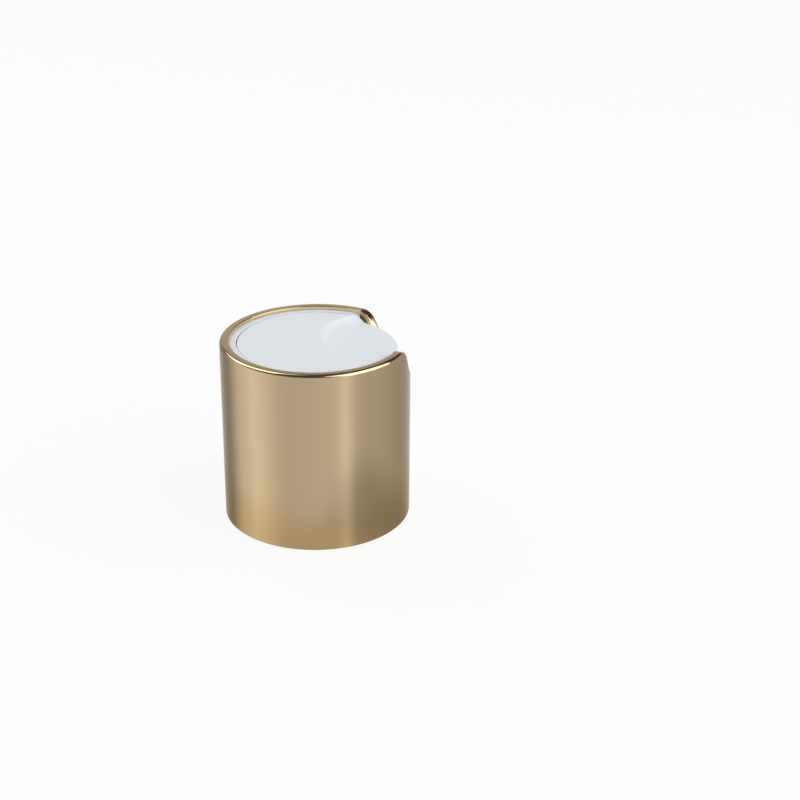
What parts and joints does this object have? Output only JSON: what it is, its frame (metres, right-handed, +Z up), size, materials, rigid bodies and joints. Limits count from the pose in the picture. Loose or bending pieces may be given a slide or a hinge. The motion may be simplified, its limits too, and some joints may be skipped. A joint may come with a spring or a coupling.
{
  "type": "disc top cap",
  "caption": "Push-to-open dispensing cap for a bottle neck: gilt metal overshell with a finger notch, white inner cap and a white disc that tilts to open.",
  "frame": {"origin": "centre of the overshell's foot, on the plane the cap stands on", "axes": "+Z up the cap's axis, -Y towards the finger notch, +X to the right of someone who faces the notch"},
  "size_m": [0.028, 0.028, 0.0277],
  "materials": {
    "gilt_shell": "bright gilt, anodised",
    "inner_cap": "smooth moulded polypropylene",
    "disc": "smooth moulded polypropylene, satin on top"
  },
  "bodies": {
    "closure": {"outer_shell": "gilt_shell", "cap_body": "inner_cap"},
    "disc": {"disc": "disc"}
  },
  "joints": [
    {"name": "disc_tilt", "type": "hinge", "parent": "closure", "child": "disc", "pos_m": [0, 0, 0.0248], "axis": [1, 0, 0], "range_deg": [0, 20]}
  ]
}
